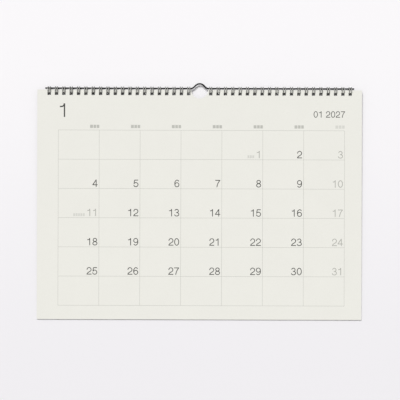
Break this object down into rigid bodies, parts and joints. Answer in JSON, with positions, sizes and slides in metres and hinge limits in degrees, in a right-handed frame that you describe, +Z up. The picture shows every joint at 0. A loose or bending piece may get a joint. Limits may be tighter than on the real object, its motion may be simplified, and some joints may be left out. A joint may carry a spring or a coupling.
{
  "type": "wall calendar",
  "caption": "Wire-bound wall calendar: landscape sheets with a punched top edge and half-round notch, twin-loop wires, and a rod whose hump hangs on a nail.",
  "frame": {"origin": "the point on the underside of the hanger's hump that bears on the nail", "axes": "+X along the top edge, to the right as seen from the front; +Y towards the wall; +Z up"},
  "size_m": [0.42, 0.0094, 0.306],
  "materials": {
    "paper": "uncoated, matt",
    "binding_wire": "satin black coating",
    "hanger_rod": "satin black coating"
  },
  "bodies": {
    "hanger": {"hanger": "hanger_rod"},
    "binding": {"wire_left": "binding_wire", "wire_right": "binding_wire"},
    "leaves": {"leaves": "paper"}
  },
  "joints": [
    {"name": "hanger_swivel", "type": "hinge", "parent": "hanger", "child": "binding", "pos_m": [0, 0, -0.0051], "axis": [-1, 0, 0], "range_deg": [0, 180]},
    {"name": "leaves_turn", "type": "hinge", "parent": "binding", "child": "leaves", "pos_m": [0, 0, -0.0071], "axis": [-1, 0, 0], "range_deg": [0, 100]}
  ]
}
